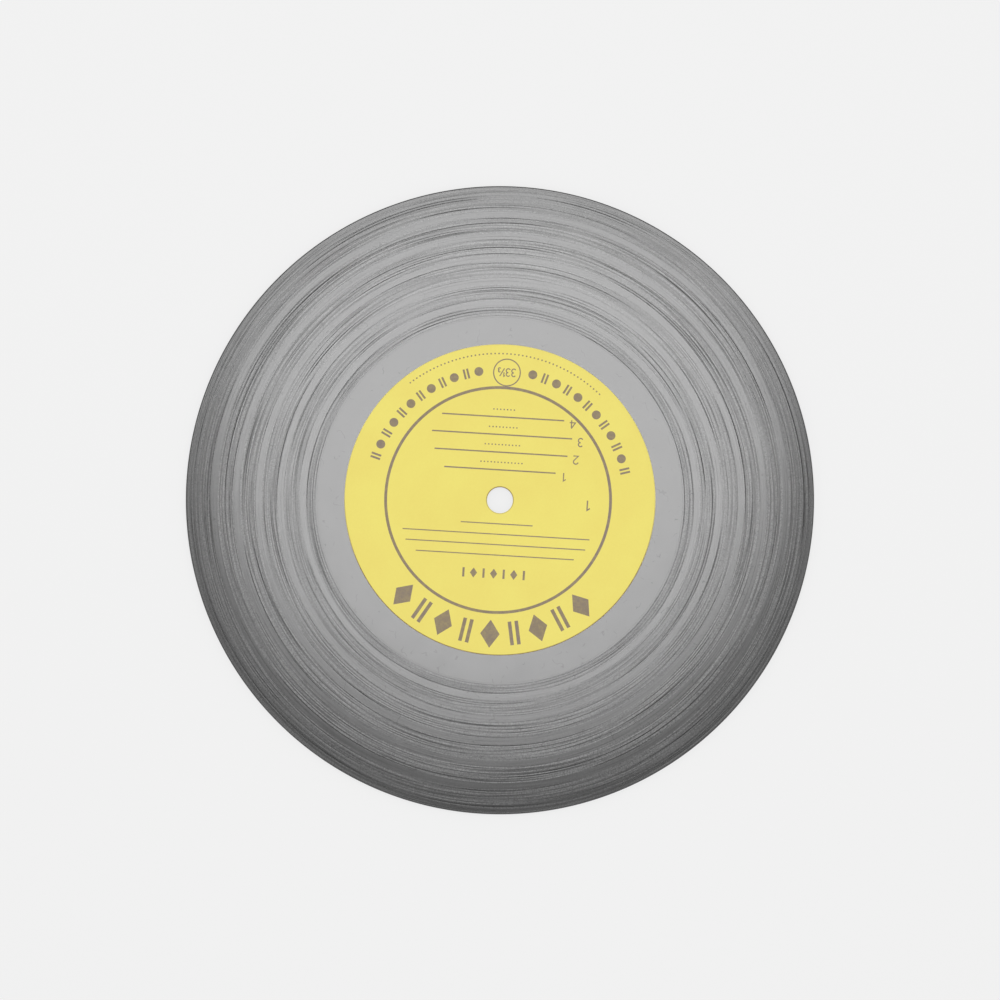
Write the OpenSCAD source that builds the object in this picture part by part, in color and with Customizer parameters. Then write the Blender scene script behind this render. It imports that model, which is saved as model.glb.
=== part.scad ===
// Seven-inch vinyl record with a small spindle hole and a paper label pressed into each side.
// Millimetres, +Z up. The origin is on the spindle axis, on the plane that the record lies on,
// which is the face of the lower label. Side 1 faces up. The disc is one revolved profile: smooth
// pad round the label, grooved field a little below it and raised rim bead. Each V cut in the
// field is a closed ring that stands for a few turns of the single spiral groove.

/* [Disc] */
// Outer diameter
disc_d = 174.6; // [172:0.2:180]
// Thickness of the vinyl over the pads and the rim beads
disc_t = 1.5; // [1.3:0.05:2.2]
// Diameter of the spindle hole
hole_d = 7.24; // [7.1:0.02:7.6]
// Depth of the grooved field below the pad and the bead
field_drop = 0.1; // [0.05:0.01:0.2]

/* [Rim] */
// Radius that rounds both edges of the rim
rim_round = 0.4; // [0.2:0.05:0.6]
// Width of the flat crest of the rim bead
bead_w = 0.7; // [0.1:0.05:2]
// Width of the slope from the bead down to the field
bead_slope = 0.2; // [0.1:0.05:1]

/* [Labels] */
// Diameter of each paper label
label_d = 86.4; // [80:0.2:92]
// Thickness of the label paper
label_t = 0.12; // [0.08:0.01:0.2]
// Height of the label's face above the face of the pad
label_proud = 0.04; // [0.01:0.01:0.06]
// Gap between the label's edge and the wall of its recess
label_gap = 0.1; // [0.05:0.05:0.3]
// Clearance between the back of the label and the floor of its recess
label_seat = 0.01; // [0:0.01:0.03]
// Distance of the label's centre from the spindle axis
label_off = 0.1; // [0:0.05:0.6]

/* [Grooves] */
// Distance between neighbouring cuts in a track
groove_pitch = 0.4; // [0.3:0.05:1]
// Width of a cut at the surface
groove_w = 0.2; // [0.1:0.02:0.28]
// Depth of a cut
groove_depth = 0.06; // [0.03:0.01:0.1]
// Number of tracks on a side
track_count = 5; // [1:1:8]
// Width of the smooth marker band between two tracks
marker_w = 1.4; // [0.8:0.1:2]
// Radius where the innermost track ends
music_in_r = 55.4; // [54:0.1:62]
// Width of the lead-in between the outermost track and the bead
lead_in_w = 1; // [0.6:0.1:3]
// Distance between the turns of the lead-in
lead_in_pitch = 0.5; // [0.3:0.1:1]
// Radius of the closed groove that stops the run-out
locked_r = 51.3; // [48:0.1:52]
// Width of the flat land between the locked groove and the pad's slope
land_w = 0.1; // [0.1:0.05:2]
// Width of the slope from the pad down to the field
pad_slope = 0.3; // [0.1:0.05:1]
// Distance between the turns of the run-out
run_out_pitch = 0.78; // [0.5:0.02:1.5]

/* [Hidden] */
vinyl_colour = [0.6, 0.6, 0.6];
paper_colour = [0.93, 0.88, 0.48];
// Facets round the circles, and straight steps along each curve of the profile
round_steps = 180;
curve_steps = 6;
// How far a cutting solid passes through the face that it cuts
cut_over = 1;
disc_r = disc_d / 2;
hole_r = hole_d / 2;
label_r = label_d / 2;
recess_r = label_r + label_gap;
recess_depth = label_t - label_proud + label_seat;
// Heights of the disc's lower and upper faces, and of the upper label's face
disc_low = label_proud;
disc_high = disc_low + disc_t;
label_high = disc_high + label_proud;
land_r = locked_r - groove_w / 2 - land_w;
pad_r = land_r - pad_slope;
crest_out_r = disc_r - rim_round;
crest_in_r = crest_out_r - bead_w;
field_out_r = crest_in_r - bead_slope;
music_out_r = field_out_r - lead_in_w;
track_w = (music_out_r - music_in_r - (track_count - 1) * marker_w) / track_count;

// Radii from start to stop at a pitch. The cuts at both ends stay inside the stretch.
function turns(start, stop, pitch) =
    [for (r = [start + groove_w / 2 : pitch : stop - groove_w / 2]) r];

// Inner radius of a track, counted outwards from 0
function track_start(track) = music_in_r + track * (track_w + marker_w);

// The rings of one track
function track_cuts(track) =
    turns(track_start(track), track_start(track) + track_w, groove_pitch);

// The run-out ends in the locked ring, and a marker band parts it from the innermost track.
run_out_cuts = turns(locked_r - groove_w / 2, music_in_r - marker_w, run_out_pitch);
// One turn crosses each marker band, halfway between the tracks.
marker_cuts = [for (track = [1 : 1 : track_count - 1]) track_start(track) - marker_w / 2];
lead_in_cuts = turns(music_out_r + lead_in_pitch, field_out_r, lead_in_pitch);

// The three corners of a V cut, as radius and depth below the top face
function cut_corners(r) =
    [[r - groove_w / 2, field_drop], [r, field_drop + groove_depth], [r + groove_w / 2, field_drop]];

// A track with the marker turn inside it, so that the radii only ever grow
function track_with_marker(track) =
    concat(track > 0 ? [marker_cuts[track - 1]] : [], track_cuts(track));

// All cuts of one side, from the innermost to the outermost
all_cuts = concat(
    run_out_cuts,
    [for (track = [0 : track_count - 1]) each track_with_marker(track)],
    lead_in_cuts
);

// A smooth S curve from one point to another, without its first point
function ease(from_r, from_d, to_r, to_d) =
    [for (i = [1 : curve_steps])
        let (t = i / curve_steps)
        [from_r + (to_r - from_r) * t, from_d + (to_d - from_d) * (1 - cos(180 * t)) / 2]];

// The rounded edge from the crest of the bead to the trimmed rim
function rim_curve() =
    [for (i = [1 : curve_steps])
        let (a = 90 * i / curve_steps)
        [crest_out_r + rim_round * sin(a), rim_round * (1 - cos(a))]];

// One face of the disc from the hole to the rim, as radius and depth below the top face
face_line = concat(
    [[hole_r, 0], [pad_r, 0]],
    ease(pad_r, 0, land_r, field_drop),
    [for (r = all_cuts) each cut_corners(r)],
    [[field_out_r, field_drop]],
    ease(field_out_r, field_drop, crest_in_r, 0),
    [[crest_out_r, 0]],
    rim_curve()
);

// The pressed vinyl with its grooves, rim and spindle hole, and a recess for each label
module disc() {
    last = len(face_line) - 1;
    upper = [for (p = face_line) [p[0], disc_high - p[1]]];
    lower = [for (i = [last : -1 : 0]) [face_line[i][0], disc_low + face_line[i][1]]];
    color(vinyl_colour)
        difference() {
            rotate_extrude($fn = round_steps)
                polygon(concat(upper, lower));
            for (z = [disc_high - recess_depth, disc_low + recess_depth - cut_over])
                translate([0, label_off, z])
                    cylinder(r = recess_r, h = cut_over, $fn = round_steps);
        }
}

// A round paper label with the spindle hole punched through it, its lower face at height z
module label(z) {
    color(paper_colour)
        difference() {
            translate([0, label_off, z])
                cylinder(r = label_r, h = label_t, $fn = round_steps);
            translate([0, 0, z - cut_over])
                cylinder(r = hole_r, h = label_t + 2 * cut_over, $fn = round_steps);
        }
}

// The upper label lies in the upper recess, and its face stands proud of the pad.
module label_side_1() {
    label(label_high - label_t);
}

// The lower label lies in the lower recess. It stands proud too, and the record rests on it.
module label_side_2() {
    label(0);
}

disc();
label_side_1();
label_side_2();
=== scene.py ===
"""The looks of a seven-inch vinyl record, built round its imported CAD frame.

Everything is in metres, in the CAD frame: +Z up, side 1 on top, the spindle axis at x = y = 0.
Sizes are written in millimetres and turned into metres by MM. The materials measure the surface in
millimetres, and the print on the labels is drawn in them.
"""
import math

import bpy
import numpy as np
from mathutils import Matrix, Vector, noise

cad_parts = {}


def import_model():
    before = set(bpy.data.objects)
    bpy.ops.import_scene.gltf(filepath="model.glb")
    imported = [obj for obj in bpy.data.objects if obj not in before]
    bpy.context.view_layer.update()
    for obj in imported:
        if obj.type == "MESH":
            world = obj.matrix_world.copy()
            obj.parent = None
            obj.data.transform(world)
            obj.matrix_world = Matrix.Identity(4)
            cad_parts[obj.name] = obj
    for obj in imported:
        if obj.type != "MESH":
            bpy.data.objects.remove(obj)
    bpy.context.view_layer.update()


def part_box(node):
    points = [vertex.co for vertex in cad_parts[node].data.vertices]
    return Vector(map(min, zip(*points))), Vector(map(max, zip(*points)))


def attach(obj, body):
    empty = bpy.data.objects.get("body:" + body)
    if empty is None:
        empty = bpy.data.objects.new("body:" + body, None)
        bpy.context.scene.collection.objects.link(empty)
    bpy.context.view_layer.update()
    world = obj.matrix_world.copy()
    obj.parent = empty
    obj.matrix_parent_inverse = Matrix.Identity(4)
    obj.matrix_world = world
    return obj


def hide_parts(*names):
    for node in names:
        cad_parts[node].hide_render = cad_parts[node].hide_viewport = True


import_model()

MM = 0.001

# Faces and edges that the frame gives
DISC_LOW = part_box("disc")[0][2]
DISC_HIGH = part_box("disc")[1][2]
DISC_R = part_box("disc")[1][0]
LABEL_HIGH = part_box("label_side_1")[1][2]
LABEL_R = (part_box("label_side_1")[1][0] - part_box("label_side_1")[0][0]) / 2
LABEL_T = LABEL_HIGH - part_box("label_side_1")[0][2]
LABEL_OFF = (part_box("label_side_1")[1][1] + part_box("label_side_1")[0][1]) / 2
LABEL_PROUD = LABEL_HIGH - DISC_HIGH
MID_Z = (DISC_LOW + DISC_HIGH) / 2
# The face of the lower label, which the record lies on
REST_Z = 0.0

# The disc's profile, as in the solids
HOLE_R = 3.62 * MM
FIELD_DROP = 0.1 * MM
RIM_ROUND = 0.4 * MM
BEAD_W = 0.7 * MM
BEAD_SLOPE = 0.2 * MM
LABEL_SEAT = 0.01 * MM
LAND_W = 0.1 * MM
PAD_SLOPE = 0.3 * MM
GROOVE_W = 0.2 * MM
TRACK_COUNT = 5
MARKER_W = 1.4 * MM
MUSIC_IN_R = 55.4 * MM
LEAD_IN_W = 1.0 * MM
LOCKED_R = 51.3 * MM
RUN_OUT_PITCH = 0.78 * MM
FIELD_OUT_R = DISC_R - RIM_ROUND - BEAD_W - BEAD_SLOPE
LAND_R = LOCKED_R - GROOVE_W / 2 - LAND_W
PAD_R = LAND_R - PAD_SLOPE
MUSIC_OUT_R = FIELD_OUT_R - LEAD_IN_W
TRACK_W = (MUSIC_OUT_R - MUSIC_IN_R - (TRACK_COUNT - 1) * MARKER_W) / TRACK_COUNT

# Where the disc is finer here than in the solids: the rounding of its rim, the distance between its
# turns, the steep steps beside the pad and the bead, and the depth of the parting line
FINE_ROUND = 0.32 * MM
ROUND_STEPS = 8
TURN_PITCH = 0.32 * MM
STEP_W = 0.03 * MM
SEAM = 0.03 * MM
# The vinyl is pressed closer round the paper than the solids show, and closest at one side
PRESSED_GAP = 0.05 * MM
PRESSED_SHIFT = 0.03 * MM
# Width of the narrow flat bands that keep a wide flat stretch shaded flat beside a curve
HOLD = 0.03 * MM
# Straight steps round the disc and the labels
SEGMENTS = 320
ANGLES = np.linspace(0, 2 * math.pi, SEGMENTS, endpoint=False)

# The most that a turn swings to each side: in the loud turns, in the quiet ones between them and in
# the one that crosses a marker band
LOUD_CUT = 0.12 * MM
QUIET_CUT = 0.05 * MM
MARKER_CUT = 0.2 * LOUD_CUT
# The least that it swings, as a share of the most: in any turn, and in one that shows all round
LEAST_SWING = 0.05
RING_SWING = 0.3
# Slope of the sides of a cut
CUT_SLOPE = 0.45
# One turn in so many shows all round in the run-out
RUN_OUT_TURNS = 3
# Noise that sets how loud a turn is: its reach round the circle, where less is slower, and its
# change outwards. Clusters change by the millimetre, and a turn's long and short lines by the turn.
CLUSTERS = (1.5, 0.45)
LONG_LINES = (1.7, 1.37)
SHORT_LINES = (4.2, 1.61)
CLUSTER_SHARE = 0.45
SHORT_SHARE = 0.3
# Where the lines start to count as loud, and how fast that grows from there
LOUD_FROM = 0.08
LOUD_GAIN = 3.0
# How far apart in the noise the two sides lie
SIDE_SEED = 3.7

# The disc's materials, by their place in its list
SMOOTH = 0
GROOVED = 1
MARKER = 2

# Grey of the vinyl over a span of radii in millimetres: how far along it, and the tone there. Its
# fall where the turns lie closer and towards the rim is painted shade, for the light that the turns
# trap and for the reflection that fades outwards.
TONE_SPAN = (40.0, 90.0)
VINYL_TONE_AND_SHADE = [(0.0, 0.108), (0.22, 0.108), (0.235, 0.122), (0.31, 0.133), (0.45, 0.133), (0.6, 0.116),
              (0.72, 0.098), (0.86, 0.054), (0.92, 0.037), (1.0, 0.035)]
# Span of radii in millimetres over which the painted streaks of light and shade and the grain grow
PAINTED_STREAK_AND_GRAIN_SPAN = (58.0, 86.0)
# Streaks: their width in millimetres, their reach, and how much of the next one is taken from each
STREAK_W = 0.3
STREAK_REACH = 2.2
NEXT_SHARE = 0.6
# How fast they change from turn to turn, for the painted light and shade in the tone and for the wear
# of the gloss
TONE_PITCH = 7.3
GLOSS_PITCH = 5.1
# How much lighter the light streaks are, how much darker the dark ones, and how few are dark: painted
# highlights and painted shade in the tone, for the reflection off the turns
STREAK_LIGHT = 0.36
STREAK_DARK = 1.6
DARK_POWER = 1.6
# The least that is left of the tone in the darkest of them
LEAST_SHADE = 0.05
# The roughness that worn turns and fog add
WORN_ROUGH = 0.11
FOG_ROUGH = 0.025
# Scratches: how far their lines reach in the noise, where in it their patches begin and are full,
# and how much they darken
SCRATCH_LINE = 0.014
SCRATCH_PATCH = (0.58, 0.64)
SCRATCH_DARK = 0.5

# Colours of the paper and the ink
PAPER_DEEP = (0.862, 0.738, 0.172, 1.0)
PAPER_PALE = (0.879, 0.771, 0.18, 1.0)
PAPER_FIBRE = (0.70, 0.585, 0.14, 1.0)
# Brown of the painted shade at the hole and at the paper's lower edge
PAPER_SHADE = (0.22, 0.125, 0.045, 1.0)
INK_WARM = (0.262, 0.205, 0.128, 1.0)
INK_COOL = (0.245, 0.195, 0.165, 1.0)
INK_THIN = (0.43, 0.345, 0.15, 1.0)
# How strong the paper's fibres are
FIBRE_SHARE = 0.12
# Where the painted shade fades out from the hole and sets in at the paper's edge, in millimetres
HOLE_SHADE = (3.75, 3.95)
EDGE_SHADE = (42.92, 43.08)

# The paper is pressed down at the hole: how wide, how far, and in how many steps
ROLL_W = 0.32 * MM
ROLL_DIP = 0.09 * MM
ROLL_STEPS = 6
# Its flat face, up to how far from the edge and in how many steps
FLAT_END = 0.1 * MM
FLAT_STEPS = 12
# Its softened outer edge, as the distance in from the edge and down from the face, in millimetres
SOFT_EDGE = ((0.05, 0.0), (0.012, 0.012), (0.0, 0.04))

# Thickness of the ink film, which ends level with the label's face in the frame, and how deep it
# goes, as a share of that
PRINT_T = 0.008 * MM
PRINT_DEEP = 1.2
# The print is turned on the record, in degrees, and sits a little off its centre, in millimetres
PRINT_TURN = 176.5
PRINT_AT = (-0.51, 0.05)
# Pen of the numerals, as a share of their height, which counts as this much at least
PEN = 0.13
PEN_HEIGHT = 2.4
# Straight steps in each bow of a numeral, and how much lower each further stroke of it ends, as a
# share of the ink's height
BOW_STEPS = 14
STROKE_DROP = 0.1
# Where a stroke turns, its corner reaches out by half its width over this at most
MITRE = 0.5
# The speed in its circle: each sign, its place from the circle's middle and its height
SPEED_SIGNS = (
    ("3", -1.9, 0.0, 2.3),
    ("3", -0.35, 0.0, 2.3),
    ("1", 0.75, 0.55, 1.25),
    ("/", 1.35, 0.0, 2.3),
    ("3", 2.1, -0.6, 1.25),
)

# The photograph's frame: its side in pixels, and where the disc's centre and scale lie in it
PHOTO_SIDE = 1000
PHOTO_CENTRE = (499.93, 500.21)
PHOTO_SCALE = 3.6 / MM
CAMERA_HEIGHT = 620 * MM
SENSOR_W = 36
CLIP_START = 0.01

# Floor and light
PALE_TONE = 0.888
FLOOR_HALF = 3
FLOOR_Z = -0.05 * MM
FLOOR_PLAIN = 0.75
SKY_STRENGTH = 0.57
LAMP_POWER = 6.28
LAMP_SIZE = (0.504, 0.62)
LAMP_AT = (0, 0.127, 1.2)


def add_object(name, data):
    """An object of some data, linked to the scene."""
    made = bpy.data.objects.new(name, data)
    bpy.context.scene.collection.objects.link(made)
    return made


def mesh_piece(name, points, faces, materials, face_material=None):
    """A smooth mesh object from arrays: points (n, 3) and quads (m, 4)."""
    mesh = bpy.data.meshes.new(name)
    mesh.vertices.add(len(points))
    mesh.vertices.foreach_set("co", np.asarray(points, dtype=np.float32).ravel())
    faces = np.asarray(faces, dtype=np.int32)
    mesh.loops.add(faces.size)
    mesh.loops.foreach_set("vertex_index", faces.ravel())
    mesh.polygons.add(len(faces))
    mesh.polygons.foreach_set("loop_start", np.arange(0, faces.size, faces.shape[1], dtype=np.int32))
    if face_material is not None:
        mesh.polygons.foreach_set("material_index", np.asarray(face_material, dtype=np.int32))
    mesh.update(calc_edges=True)
    mesh.validate()
    mesh.polygons.foreach_set("use_smooth", np.full(len(mesh.polygons), True))
    for material in materials:
        mesh.materials.append(material)
    return add_object(name, mesh)


class Rows:
    """A closed profile revolved about Z: each row is one ring of points."""

    def __init__(self):
        self.points = []
        self.sharp = []
        self.slots = []

    def add(self, radius, z, off=0.0, sharp=False, slot=SMOOTH):
        """One ring, its middle moved off along y. slot is the material of the band that leads up
        to it. The radius is a number or one value for each angle."""
        x = radius * np.cos(ANGLES)
        y = off + radius * np.sin(ANGLES)
        self.points.append(np.stack([x, y, np.broadcast_to(z, ANGLES.shape)], axis=1))
        self.sharp.append(sharp)
        self.slots.append(slot)

    def piece(self, name, materials, flip):
        """The rings joined by quads, the last one to the first. flip turns the faces round."""
        rows = len(self.points)
        here = np.arange(rows * SEGMENTS).reshape(rows, SEGMENTS)
        below = np.roll(here, -1, axis=0)
        quads = np.stack([here, below, np.roll(below, -1, axis=1), np.roll(here, -1, axis=1)], axis=2)
        quads = quads.reshape(-1, 4)
        if flip:
            quads = quads[:, ::-1]
        slots = np.repeat(np.roll(self.slots, -1), SEGMENTS)
        piece = mesh_piece(name, np.concatenate(self.points), quads, materials, slots)
        mesh = piece.data
        edges = np.empty(len(mesh.edges) * 2, dtype=np.int32)
        mesh.edges.foreach_get("vertices", edges)
        row = edges.reshape(-1, 2) // SEGMENTS
        sharp = (row[:, 0] == row[:, 1]) & np.array(self.sharp)[row[:, 0]]
        mesh.attributes.new("sharp_edge", "BOOLEAN", "EDGE").data.foreach_set("value", sharp)
        return piece


def track_start(track):
    """Inner radius of a track, counted outwards from 0."""
    return MUSIC_IN_R + track * (TRACK_W + MARKER_W)


def ring_noise(angle, kind, outwards, shift):
    """Noise read on a circle, so that it closes round the disc. kind is its reach and its change,
    and shift moves the circle."""
    reach, change = kind
    x = reach * math.cos(angle) + shift[0]
    y = reach * math.sin(angle) + shift[1]
    return noise.noise(Vector((x, y, outwards * change)))


def loudness(radius, turn, seed):
    """How wide a turn swings round its circle, from 0 to 1: lines of its own, in slow clusters."""
    values = []
    for a in ANGLES:
        cluster = CLUSTER_SHARE * ring_noise(a, CLUSTERS, radius / MM, (seed, 0))
        line = ring_noise(a, LONG_LINES, turn, (0, seed))
        line += SHORT_SHARE * ring_noise(a, SHORT_LINES, turn, (seed, 0))
        values.append((line - LOUD_FROM) * LOUD_GAIN * (1.0 + cluster))
    return np.clip(values, 0.0, 1.0)


class Field:
    """Lays the V cuts of one side in its profile, from the innermost turn to the outermost."""

    def __init__(self, rows, level, down, seed):
        self.rows = rows
        self.level = level
        self.down = down
        self.seed = seed
        self.turn = 0

    def cut(self, middle, widest, least=LEAST_SWING, lead=GROOVED):
        """One turn. Its width swings round its circle, least being its least share of the widest,
        and its sides keep their slope. lead is the material of the band that leads up to it."""
        self.turn += 1
        half = widest * (least + (1 - least) * loudness(middle, self.turn, self.seed))
        self.rows.add(middle - half, self.level, sharp=True, slot=lead)
        self.rows.add(middle, self.level + self.down * CUT_SLOPE * half, sharp=True, slot=GROOVED)
        self.rows.add(middle + half, self.level, sharp=True, slot=GROOVED)

    def run(self, start, stop):
        """Evenly spaced turns with a marker band before them. Every second one is quiet, so that
        the dark lines stay fine."""
        count = round((stop - start) / TURN_PITCH)
        for k in range(count):
            widest = QUIET_CUT if self.turn % 2 else LOUD_CUT
            middle = start + (k + 0.5) * (stop - start) / count
            self.cut(middle, widest, lead=GROOVED if k else MARKER)


def vinyl_side(name, face_z, down, seed, materials):
    """Half the disc's thickness, from its face to the parting line at mid height. down is the
    direction from the face into the vinyl, -1 under the upper face and 1 over the lower."""
    rows = Rows()
    recess = face_z + down * (LABEL_T - LABEL_PROUD + LABEL_SEAT)
    field = face_z + down * FIELD_DROP
    rows.add(HOLE_R, MID_Z, sharp=True)
    rows.add(HOLE_R, recess, sharp=True)
    for z in (recess, face_z):
        rows.add(LABEL_R + PRESSED_GAP, z, off=LABEL_OFF - PRESSED_SHIFT, sharp=True)
    # The steps beside the pad and the bead are steeper than in the solids, so that they hardly show
    # from above
    rows.add(PAD_R - HOLD, face_z)
    rows.add(PAD_R, face_z, sharp=True)
    rows.add(PAD_R + STEP_W, field, sharp=True)
    cuts = Field(rows, field, down, seed)
    # Between the run-out's plain rings lie faint ones
    run_out = np.arange(LOCKED_R, MUSIC_IN_R - MARKER_W, RUN_OUT_PITCH / RUN_OUT_TURNS)
    for k, middle in enumerate(run_out):
        if k % RUN_OUT_TURNS:
            cuts.cut(middle, QUIET_CUT)
        else:
            cuts.cut(middle, LOUD_CUT, RING_SWING, lead=GROOVED if k else SMOOTH)
    for track in range(TRACK_COUNT):
        start = track_start(track)
        if track:
            cuts.cut(start - MARKER_W / 2, MARKER_CUT, lead=MARKER)
        cuts.run(start, start + TRACK_W)
    # The lead-in ends in one plain ring
    cuts.run(MUSIC_OUT_R, FIELD_OUT_R - TURN_PITCH)
    cuts.cut(FIELD_OUT_R - GROOVE_W, LOUD_CUT, RING_SWING)
    bead = FIELD_OUT_R + BEAD_SLOPE / 2
    rows.add(bead, field, sharp=True)
    rows.add(bead + STEP_W, face_z, sharp=True)
    crest = DISC_R - FINE_ROUND
    rows.add(crest - HOLD, face_z, slot=GROOVED)
    rows.add(crest, face_z, slot=GROOVED)
    for k in range(1, ROUND_STEPS + 1):
        a = math.pi / 2 * k / ROUND_STEPS
        rows.add(crest + FINE_ROUND * math.sin(a), face_z + down * FINE_ROUND * (1 - math.cos(a)))
    rows.add(DISC_R, MID_Z - down * SEAM, sharp=True)
    rows.add(DISC_R - SEAM, MID_Z, sharp=True)
    return rows.piece(name, materials, flip=down > 0)


def grey(level):
    """A grey as a colour."""
    return (level, level, level, 1.0)


class Nodes:
    """A node tree, with a short call for each kind of node used here."""

    def __init__(self, tree):
        self.tree = tree

    def node(self, kind, **settings):
        node = self.tree.nodes.new("ShaderNode" + kind)
        for key, value in settings.items():
            setattr(node, key, value)
        return node

    def put(self, value, socket):
        """Links an output to a socket, or sets the socket to a plain value."""
        if isinstance(value, bpy.types.NodeSocket):
            self.tree.links.new(value, socket)
        else:
            socket.default_value = value

    def math(self, operation, a, b=0.0):
        node = self.node("Math", operation=operation)
        self.put(a, node.inputs[0])
        self.put(b, node.inputs[1])
        return node.outputs[0]

    def add(self, a, b):
        return self.math("ADD", a, b)

    def less(self, a, b):
        """The first value less the second."""
        return self.math("SUBTRACT", a, b)

    def times(self, a, b):
        return self.math("MULTIPLY", a, b)

    def spread(self, value, low, high, to_low=0.0, to_high=1.0):
        """The value moved from one range to another, and clamped there."""
        node = self.node("MapRange")
        self.put(value, node.inputs["Value"])
        node.inputs["From Min"].default_value = low
        node.inputs["From Max"].default_value = high
        node.inputs["To Min"].default_value = to_low
        node.inputs["To Max"].default_value = to_high
        return node.outputs["Result"]

    def vector(self, x, y, z):
        node = self.node("CombineXYZ")
        for value, socket in zip((x, y, z), node.inputs):
            self.put(value, socket)
        return node.outputs[0]

    def across(self, vector):
        """A vector's x and y."""
        node = self.node("SeparateXYZ")
        self.put(vector, node.inputs[0])
        return node.outputs[0], node.outputs[1]

    def length(self, vector):
        node = self.node("VectorMath", operation="LENGTH")
        self.put(vector, node.inputs[0])
        return node.outputs["Value"]

    def noise(self, vector, scale, detail, rough=0.5):
        node = self.node("TexNoise")
        self.put(vector, node.inputs["Vector"])
        node.inputs["Scale"].default_value = scale
        node.inputs["Detail"].default_value = detail
        node.inputs["Roughness"].default_value = rough
        return node.outputs["Fac"]

    def ramp(self, value, stops):
        """Greys along a value from 0 to 1. Each stop is a place and a grey."""
        node = self.node("ValToRGB")
        self.put(value, node.inputs[0])
        elements = node.color_ramp.elements
        while len(elements) < len(stops):
            elements.new(1.0)
        for element, (place, level) in zip(elements, stops):
            element.position = place
            element.color = grey(level)
        return node.outputs["Color"]

    def mix(self, factor, a, b, blend="MIX"):
        """Two colours mixed. The node's sockets for colours are 6 and 7, and 2 on its way out."""
        node = self.node("Mix", data_type="RGBA", blend_type=blend)
        self.put(factor, node.inputs["Factor"])
        self.put(a, node.inputs[6])
        self.put(b, node.inputs[7])
        return node.outputs[2]

    def seen(self, share, light, plain, output):
        """Ends the tree with light, which the camera, gloss and glass see as mostly a plain tone.
        share is how much of it they see so."""
        path = self.node("LightPath")
        seen = self.math("MAXIMUM", path.outputs["Is Camera Ray"], path.outputs["Is Glossy Ray"])
        seen = self.math("MAXIMUM", seen, path.outputs["Is Transmission Ray"])
        mixed = self.node("MixShader")
        self.put(self.times(seen, share), mixed.inputs[0])
        self.put(light.outputs[0], mixed.inputs[1])
        self.put(plain.outputs[0], mixed.inputs[2])
        plain.inputs["Color"].default_value = grey(PALE_TONE)
        self.put(mixed.outputs[0], self.tree.nodes[output].inputs["Surface"])


class Shader(Nodes):
    """A material on its way, with its surface node."""

    def __init__(self, name):
        self.material = bpy.data.materials.new(name)
        self.material.use_nodes = True
        super().__init__(self.material.node_tree)
        self.surface = self.tree.nodes["Principled BSDF"]

    def point(self):
        """The surface point in millimetres."""
        scaled = self.node("VectorMath", operation="SCALE")
        self.put(self.node("TexCoord").outputs["Object"], scaled.inputs[0])
        scaled.inputs["Scale"].default_value = 1 / MM
        return scaled.outputs[0]

    def round_axis(self, point):
        """A point's distance from the spindle axis, and its direction east and north of it."""
        x, y = self.across(point)
        radius = self.math("SQRT", self.add(self.times(x, x), self.times(y, y)))
        return radius, self.math("DIVIDE", x, radius), self.math("DIVIDE", y, radius)

    def bump(self, height, strength, distance):
        node = self.node("Bump")
        node.inputs["Strength"].default_value = strength
        node.inputs["Distance"].default_value = distance
        self.put(height, node.inputs["Height"])
        self.put(node.outputs[0], self.surface.inputs["Normal"])

    def finish(self, colour, roughness, specular=0.5):
        self.put(colour, self.surface.inputs["Base Color"])
        self.put(roughness, self.surface.inputs["Roughness"])
        self.surface.inputs["Specular IOR Level"].default_value = specular
        return self.material


def along_turns(s, polar, reach, across, pitch):
    """Noise drawn out along the turns. It is read on a circle, and a small reach makes it slow.
    pitch is how fast it changes across the turns."""
    east, north = polar[1:]
    place = s.vector(s.times(east, reach), s.times(north, reach), s.times(across, pitch))
    return s.noise(place, scale=1.0, detail=1.0)


def own_streaks(s, polar, pitch):
    """Streaks of every turn's own, set off against those of the next turn."""
    turn = s.math("SNAP", polar[0], STREAK_W)
    here = along_turns(s, polar, STREAK_REACH, turn, pitch)
    ahead = along_turns(s, polar, STREAK_REACH, s.add(turn, STREAK_W), pitch)
    return s.add(s.less(here, s.times(ahead, NEXT_SHARE)), NEXT_SHARE / 2)


def streaked(s, point, polar, wear_and_painted_streaks):
    """What the streaks, painted as highlights and shade, and the grain do to the tone, as a factor,
    and how worn each turn is, from 0 to 1.
    """
    radius = polar[0]
    slow = along_turns(s, polar, reach=1.5, across=radius, pitch=0.5)
    cluster = s.spread(slow, 0.35, 0.65, to_low=0.6, to_high=1.0)
    worn = s.times(s.spread(own_streaks(s, polar, GLOSS_PITCH), 0.53, 0.76), cluster)
    # The painted streaks of light and shade grow stronger towards the rim
    depth = s.spread(radius, *PAINTED_STREAK_AND_GRAIN_SPAN, to_low=0.9 * wear_and_painted_streaks, to_high=2.2 * wear_and_painted_streaks)
    # Painted highlights and shade: more streaks are a little light than dark, and the dark ones are
    # much darker
    dark = s.math("POWER", s.spread(own_streaks(s, polar, TONE_PITCH), 0.3, 0.74), DARK_POWER)
    shade = s.less(STREAK_LIGHT, s.times(dark, STREAK_DARK))
    shade = s.add(s.times(shade, s.times(depth, cluster)), 1.0)
    grain = s.spread(s.noise(point, scale=2.6, detail=1.0), 0.2, 0.8, to_low=-1.0, to_high=1.0)
    grain = s.times(grain, s.spread(radius, *PAINTED_STREAK_AND_GRAIN_SPAN, to_low=0.35 * wear_and_painted_streaks, to_high=0.8 * wear_and_painted_streaks))
    return s.times(s.math("MAXIMUM", shade, LEAST_SHADE), s.add(grain, 1.0)), worn


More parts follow.
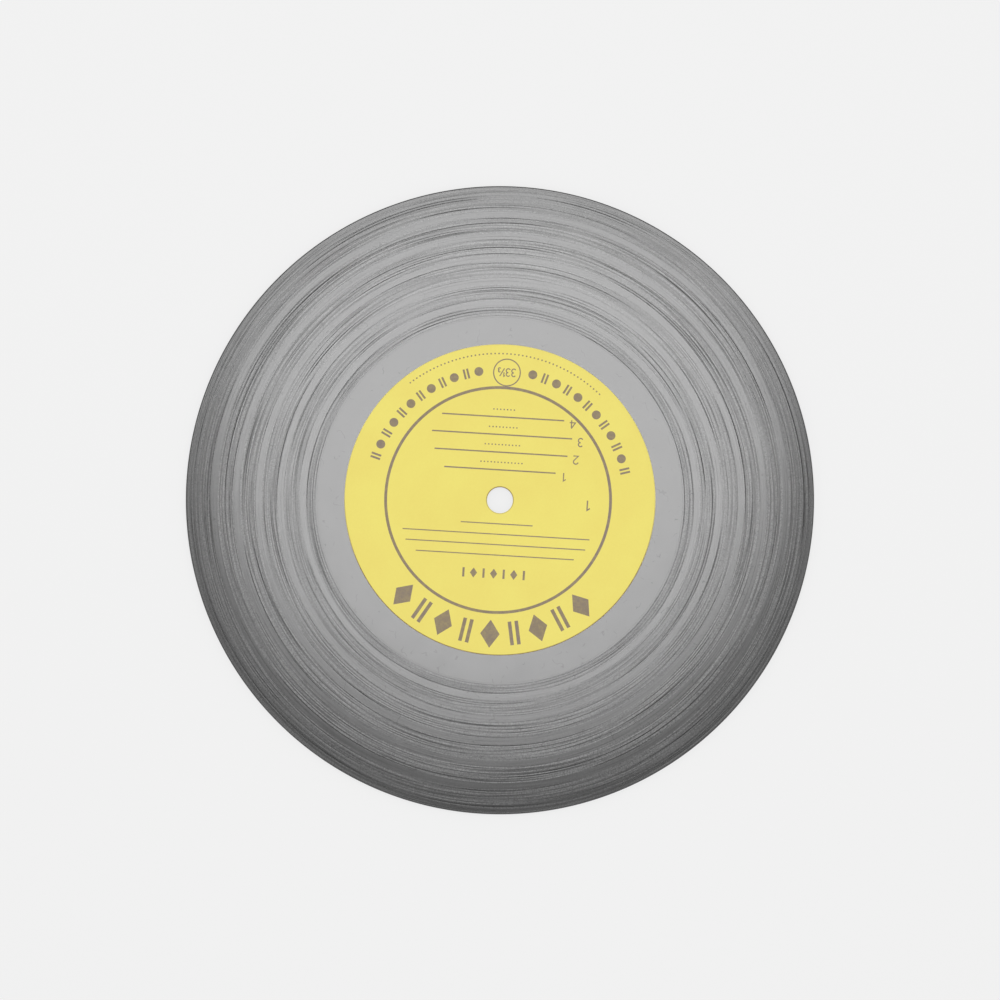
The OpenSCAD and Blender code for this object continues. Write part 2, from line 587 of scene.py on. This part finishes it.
def scratches(s, point):
    """Hairline scratches: thin contour lines of a slow noise, kept only in small patches."""
    contour = s.less(s.noise(point, scale=0.24, detail=2.0, rough=0.4), 0.5)
    line = s.less(1.0, s.spread(s.math("ABSOLUTE", contour), 0.0, SCRATCH_LINE))
    return s.times(line, s.spread(s.noise(point, scale=0.4, detail=1.0), *SCRATCH_PATCH))


def vinyl(name, gloss, wear_and_painted_streaks, tint=1.0):
    """Pressed vinyl: a tone that deepens towards the rim as painted shade, streaks along the turns
    painted as highlights and shade, scratches and fog. gloss is its least roughness, and wear is the
    strength of the painted streaks and of the worn gloss: 0 on the smooth pad and bead, and 1 where
    the turns lie close. A tint below 1 deepens the tone as painted shade."""
    s = Shader(name)
    point = s.point()
    polar = s.round_axis(point)
    fog = s.noise(point, scale=0.16, detail=4.0, rough=0.6)
    roughness = s.spread(fog, 0.3, 0.7, to_low=gloss, to_high=gloss + FOG_ROUGH)
    if wear_and_painted_streaks:
        shade, worn = streaked(s, point, polar, wear_and_painted_streaks)
        roughness = s.add(roughness, s.times(worn, WORN_ROUGH * wear_and_painted_streaks))
    else:
        shade = s.noise(point, scale=0.09, detail=3.0)
        shade = s.spread(shade, 0.3, 0.7, to_low=0.98, to_high=1.02)
    # A tint below 1 is painted shade; the scratches darken the tone as marks of wear
    shade = s.times(shade, s.less(tint, s.times(scratches(s, point), SCRATCH_DARK)))
    # The tone's fall towards the rim is painted shade
    tone = s.ramp(s.spread(polar[0], *TONE_SPAN), VINYL_TONE_AND_SHADE)
    colour = s.mix(1.0, tone, s.vector(shade, shade, shade), "MULTIPLY")
    s.bump(s.noise(point, scale=4.0, detail=3.0), strength=0.12, distance=0.01 * MM)
    return s.finish(colour, roughness)


def paper(name):
    """Yellow label paper: faint mottling, fibres, and painted shade round the spindle hole and along
    the lower edge.
    """
    s = Shader(name)
    point = s.point()
    radius, _, north = s.round_axis(point)
    mottle = s.spread(s.noise(point, scale=0.07, detail=3.0), 0.35, 0.65)
    fibre = s.spread(s.noise(point, scale=2.2, detail=4.0, rough=0.7), 0.3, 0.7)
    base = s.mix(mottle, PAPER_DEEP, PAPER_PALE)
    base = s.mix(s.times(fibre, FIBRE_SHARE), base, PAPER_FIBRE)
    # Painted shade on the rolled edge of the hole, darker at its top
    hole_shade = s.less(1.0, s.spread(radius, *HOLE_SHADE))
    hole_shade = s.times(hole_shade, s.spread(north, -0.6, 0.9, to_low=0.35, to_high=0.95))
    # The paper's edge is measured from the label's own middle
    x, y = s.across(point)
    edge = s.length(s.vector(x, s.less(y, LABEL_OFF / MM), 0.0))
    edge = s.spread(edge, *EDGE_SHADE)
    # Painted shade: the edge darkens on its lower side only
    edge = s.times(edge, s.spread(north, 0.05, -0.45, to_low=0.1, to_high=0.95))
    colour = s.mix(s.math("MAXIMUM", hole_shade, edge), base, PAPER_SHADE)
    s.bump(s.noise(point, scale=3.0, detail=4.0, rough=0.6), strength=0.1, distance=0.02 * MM)
    roughness = s.spread(fibre, 0.0, 1.0, to_low=0.62, to_high=0.78)
    return s.finish(colour, roughness, specular=0.3)


def ink(name):
    """Brown printing ink, worn thin in places so that the paper shows through."""
    s = Shader(name)
    point = s.point()
    thin = s.noise(point, scale=0.9, detail=5.0, rough=0.65)
    thin = s.spread(thin, 0.42, 0.72, to_low=0.0, to_high=0.5)
    tint = s.spread(s.noise(point, scale=0.05, detail=2.0), 0.3, 0.7)
    colour = s.mix(thin, s.mix(tint, INK_WARM, INK_COOL), INK_THIN)
    return s.finish(colour, roughness=0.6, specular=0.3)


def label(name, face_z, down, material):
    """A punched paper disc. It is pressed down at its hole, and its outer edge is softened."""
    rows = Rows()
    face = face_z + down * PRINT_T
    back = face_z + down * LABEL_T
    rows.add(HOLE_R, back, sharp=True)
    for k in range(ROLL_STEPS + 1):
        t = k / ROLL_STEPS
        sunk = ROLL_DIP * (1 + math.cos(math.pi * t)) / 2
        rows.add(HOLE_R + ROLL_W * t, face + down * sunk, sharp=k == 0)
    flat_w = LABEL_R - FLAT_END - HOLE_R - ROLL_W
    for k in range(1, FLAT_STEPS):
        t = k / FLAT_STEPS
        rows.add(HOLE_R + ROLL_W + flat_w * t, face, off=LABEL_OFF * t)
    for inset, drop in SOFT_EDGE:
        rows.add(LABEL_R - inset * MM, face + down * drop * MM, off=LABEL_OFF)
    rows.add(LABEL_R, back, off=LABEL_OFF, sharp=True)
    return rows.piece(name, [material], flip=down > 0)


def oblong(half_x, half_y, y=0.0):
    """An oblong outline, its middle moved along y."""
    low = y - half_y
    high = y + half_y
    return [(-half_x, low), (half_x, low), (half_x, high), (-half_x, high)]


def lozenge(half_x, half_y):
    """A lozenge outline."""
    return [(-half_x, 0), (0, -half_y), (half_x, 0), (0, half_y)]


def spot(r, corners):
    """A round outline."""
    angles = [2 * math.pi * k / corners for k in range(corners)]
    return [(r * math.cos(a), r * math.sin(a)) for a in angles]


def bow(y, r, start, stop):
    """Points along an arc round a point on the y axis, from one angle to another in degrees."""
    angles = [math.radians(start + (stop - start) * k / BOW_STEPS) for k in range(BOW_STEPS + 1)]
    return [(r * math.cos(a), y + r * math.sin(a)) for a in angles]


# Pen strokes of the numerals and the fraction's bar, for a height of 1 round the origin
STROKES = {
    "1": [[(-0.2, 0.27), (0.06, 0.45), (0.06, -0.45)]],
    "2": [bow(0.2, 0.26, 165, -35) + [(-0.25, -0.44), (0.3, -0.44)]],
    "3": [bow(0.22, 0.23, 150, -90), bow(-0.22, 0.25, 90, -150)],
    "4": [[(0.13, 0.46), (-0.3, -0.19), (0.34, -0.19)], [(0.13, 0.36), (0.13, -0.46)]],
    "/": [[(-0.26, -0.48), (0.26, 0.48)]],
}


class Print:
    """Thin solids of ink in the label's own reading frame, in millimetres. Their heights go from 0
    at the bottom of the film to 1 at its top."""

    def __init__(self):
        self.points = []
        self.faces = []

    def prism(self, outline):
        """A flat solid on a convex outline, listed anticlockwise."""
        first = len(self.points)
        n = len(outline)
        for z in (0.0, 1.0):
            self.points += [(x, y, z) for x, y in outline]
        self.faces.append([first + n - 1 - k for k in range(n)])
        self.faces.append([first + n + k for k in range(n)])
        for k in range(n):
            j = (k + 1) % n
            self.faces.append([first + k, first + j, first + n + j, first + n + k])

    def ring(self, x, y, r, width, steps):
        """A round stripe about a point."""
        first = len(self.points)
        for k in range(steps):
            a = math.radians(360 * k / steps)
            for z in (0.0, 1.0):
                for radius in (r - width / 2, r + width / 2):
                    self.points.append((x + radius * math.cos(a), y + radius * math.sin(a), z))
        corners = [0, 1, 3, 2]
        for k in range(steps):
            here = first + 4 * k
            there = first + 4 * ((k + 1) % steps)
            for a, b in zip(corners, corners[1:] + corners[:1]):
                self.faces.append([here + a, there + a, there + b, here + b])

    def at(self, outline, x, y):
        """A convex outline, drawn about its own middle, moved to a point."""
        self.prism([(x + u, y + v) for u, v in outline])

    def out(self, outline, r, angle):
        """A convex outline, drawn about its own middle, moved out to a radius and turned with it."""
        c = math.cos(math.radians(angle))
        s = math.sin(math.radians(angle))
        self.prism([(c * (r + u) - s * v, s * (r + u) + c * v) for u, v in outline])

    def stroke(self, path, width, top):
        """A pen stroke of even width along a path, with mitred corners. Its top is its height."""
        headings = [math.atan2(b[1] - a[1], b[0] - a[0]) for a, b in zip(path, path[1:])]
        headings = headings[:1] + headings + headings[-1:]
        left = []
        right = []
        for (x, y), before, after in zip(path, headings, headings[1:]):
            turn = math.remainder(after - before, 2 * math.pi) / 2
            reach = width / 2 / max(math.cos(turn), MITRE)
            a = before + turn + math.pi / 2
            left.append((x + reach * math.cos(a), y + reach * math.sin(a)))
            right.append((x - reach * math.cos(a), y - reach * math.sin(a)))
        first = len(self.points)
        n = len(path)
        for z in (0.0, top):
            self.points += [(x, y, z) for x, y in right + left]
        for k in range(n - 1):
            r0, r1, l0, l1 = k, k + 1, n + k, n + k + 1
            for quad in (
                (r0, l0, l1, r1),
                (2 * n + r0, 2 * n + r1, 2 * n + l1, 2 * n + l0),
                (r0, r1, 2 * n + r1, 2 * n + r0),
                (l1, l0, 2 * n + l0, 2 * n + l1),
            ):
                self.faces.append([first + i for i in quad])
        for end in ((0, 2 * n, 3 * n, n), (n - 1, 2 * n - 1, 4 * n - 1, 3 * n - 1)):
            self.faces.append([first + i for i in end])

    def numeral(self, digit, x, y, size):
        """A plain numeral centred on a point, size being its height. Each further stroke ends a
        little lower, so that no two tops lie in one plane."""
        for k, path in enumerate(STROKES[digit]):
            path = [(x + size * u, y + size * v) for u, v in path]
            self.stroke(path, PEN * max(size, PEN_HEIGHT), 1.0 - STROKE_DROP * k)

    def piece(self, name, face_z, up, material):
        """Lays the print on a label. up is 1 on the upper face and -1 on the lower."""
        c = math.cos(math.radians(PRINT_TURN))
        s = math.sin(math.radians(PRINT_TURN))
        points = []
        for x, y, z in self.points:
            east = c * x - s * y + PRINT_AT[0]
            north = s * x + c * y + PRINT_AT[1]
            height = face_z - up * PRINT_T * (1 - z) * PRINT_DEEP
            points.append((east * MM, up * north * MM, height))
        faces = self.faces if up > 0 else [face[::-1] for face in self.faces]
        mesh = bpy.data.meshes.new(name)
        mesh.from_pydata(points, [], faces)
        mesh.validate()
        mesh.materials.append(material)
        return add_object(name, mesh)


def speed(p):
    """The speed in turns a minute, thirty-three and a third, in a circle."""
    x = -0.3
    y = -35.5
    p.ring(x, y, r=3.7, width=0.33, steps=64)
    for sign, right, up, size in SPEED_SIGNS:
        p.numeral(sign, x + right, y + up, size)


def dotted_line(p, half, y):
    """A dotted line, half being half its length."""
    pitch = 0.95
    for k in range(int(2 * half / pitch) + 1):
        p.at(spot(0.22, 8), -half + k * pitch, y)


def numbered_lines(p):
    """Numbered lines below the hole, each with a dotted line under it."""
    top_y = -8.4
    step = 4.9
    half_w = 0.19
    numeral_gap = 2.4
    numeral_lift = 0.9
    numeral_size = 2.5
    dots_half = 6.0
    dots_below = 2.1
    for k, half in enumerate((15.5, 18.5, 19.5, 17.0)):
        y = top_y - step * k
        p.numeral(str(k + 1), -half - numeral_gap, y + numeral_lift, numeral_size)
        p.at(oblong(half, half_w), 0.0, y)
        dotted_line(p, dots_half - k, y - dots_below)


def plain_lines(p):
    """Plain lines above the hole."""
    low_y = 6.6
    step = 2.9
    half_w = 0.15
    for k, half in enumerate((10.0, 26.0, 25.0, 22.0)):
        p.at(oblong(half, half_w), 0.0, low_y + step * k)


def ornament(p):
    """A short row of upright bars with small lozenges between them."""
    y = 20.5
    step = 2.8
    for k in range(-3, 4):
        p.at(oblong(0.3, 1.3) if k % 2 else lozenge(1.0, 1.4), step * k, y)


def bold_border(p):
    """Large lozenges along the top of the label, with pairs of bars between them."""
    r = 37.2
    step = 10.4
    across = 0.95
    for k in range(-4, 5):
        angle = 90 + step * k
        if k % 2:
            for side in (-across, across):
                p.out(oblong(3.3, 0.5, side), r, angle)
        else:
            p.out(lozenge(3.9, 2.7), r, angle)


def bead_border(p):
    """Beads on both sides of the speed, with pairs of short bars between them."""
    r = 36.1
    first = 12.0
    step = 5.6
    across = 0.5
    for direction in (-1, 1):
        for k in range(12):
            angle = -90 + direction * (first + step * k)
            if k % 2:
                for side in (-across, across):
                    p.out(oblong(1.4, 0.28, side), r, angle)
            else:
                p.out(spot(1.25, 20), r, angle)


def dotted_border(p):
    """A dotted line outside the beads."""
    r = 40.7
    step = 1.55
    for k in range(-26, 27):
        p.out(spot(0.24, 8), r, -90 + step * k)


def label_print(side):
    """A plain stock design: ring, speed in a circle, ruled lines, ornament and three borders."""
    p = Print()
    p.ring(0.0, 0.0, r=31.24, width=0.8, steps=240)
    speed(p)
    numbered_lines(p)
    plain_lines(p)
    ornament(p)
    p.numeral(str(side), x=-25.0, y=0.0, size=3.0)
    bold_border(p)
    bead_border(p)
    dotted_border(p)
    return p


def camera():
    """Straight above, with the disc where the photograph has it."""
    data = bpy.data.cameras.new("camera")
    across = PHOTO_SIDE / PHOTO_SCALE
    data.sensor_width = SENSOR_W
    data.lens = SENSOR_W * (CAMERA_HEIGHT - DISC_HIGH) / across
    data.clip_start = CLIP_START
    seat = add_object("camera", data)
    middle = PHOTO_SIDE / 2
    x = (middle - PHOTO_CENTRE[0]) / PHOTO_SCALE
    y = (PHOTO_CENTRE[1] - middle) / PHOTO_SCALE
    seat.location = (x, y, CAMERA_HEIGHT)
    bpy.context.scene.camera = seat


def stage():
    """A plain pale floor under a plain pale sky, and one soft oval light above it."""
    s = Shader("floor")
    s.finish(grey(PALE_TONE), roughness=0.9, specular=0.2)
    # The floor is seen as mostly its own plain tone, so that only a faint part of the shadow shows
    s.seen(FLOOR_PLAIN, s.surface, s.node("Emission"), "Material Output")
    corners = [(-1, -1), (1, -1), (1, 1), (-1, 1)]
    points = [(FLOOR_HALF * x, FLOOR_HALF * y, FLOOR_Z) for x, y in corners]
    floor = mesh_piece("floor", points, [(0, 1, 2, 3)], [s.material])
    world = bpy.data.worlds.new("sky")
    world.use_nodes = True
    sky = Nodes(world.node_tree)
    light = sky.tree.nodes["Background"]
    light.inputs["Color"].default_value = grey(1.0)
    light.inputs["Strength"].default_value = SKY_STRENGTH
    sky.seen(1.0, light, sky.node("Background"), "World Output")
    bpy.context.scene.world = world
    lamp = bpy.data.lights.new("softbox", "AREA")
    lamp.shape = "ELLIPSE"
    lamp.size = LAMP_SIZE[0]
    lamp.size_y = LAMP_SIZE[1]
    lamp.energy = LAMP_POWER
    add_object("softbox", lamp).location = LAMP_AT


def record():
    """The pressed disc in two halves along its parting line, the labels and their print."""
    skin = [
        vinyl("vinyl_smooth", gloss=0.135, wear_and_painted_streaks=0.0),
        vinyl("vinyl_grooved", gloss=0.18, wear_and_painted_streaks=1.0),
        # The marker bands are a darker copy of the vinyl: painted shade
        vinyl("vinyl_marker", gloss=0.12, wear_and_painted_streaks=0.25, tint=0.82),
    ]
    yellow = paper("label_paper")
    brown = ink("label_ink")
    for side, disc_z, label_z, up in ((1, DISC_HIGH, LABEL_HIGH, 1), (2, DISC_LOW, REST_Z, -1)):
        half = vinyl_side(f"vinyl_side_{side}", disc_z, -up, SIDE_SEED * side, skin)
        paper_disc = label(f"label_paper_{side}", label_z, -up, yellow)
        inked = label_print(side).piece(f"label_print_{side}", label_z, up, brown)
        for piece in (half, paper_disc, inked):
            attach(piece, "root")
        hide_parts("disc")
        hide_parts(f"label_side_{side}")


bpy.context.scene.view_settings.view_transform = "Standard"
camera()
stage()
record()
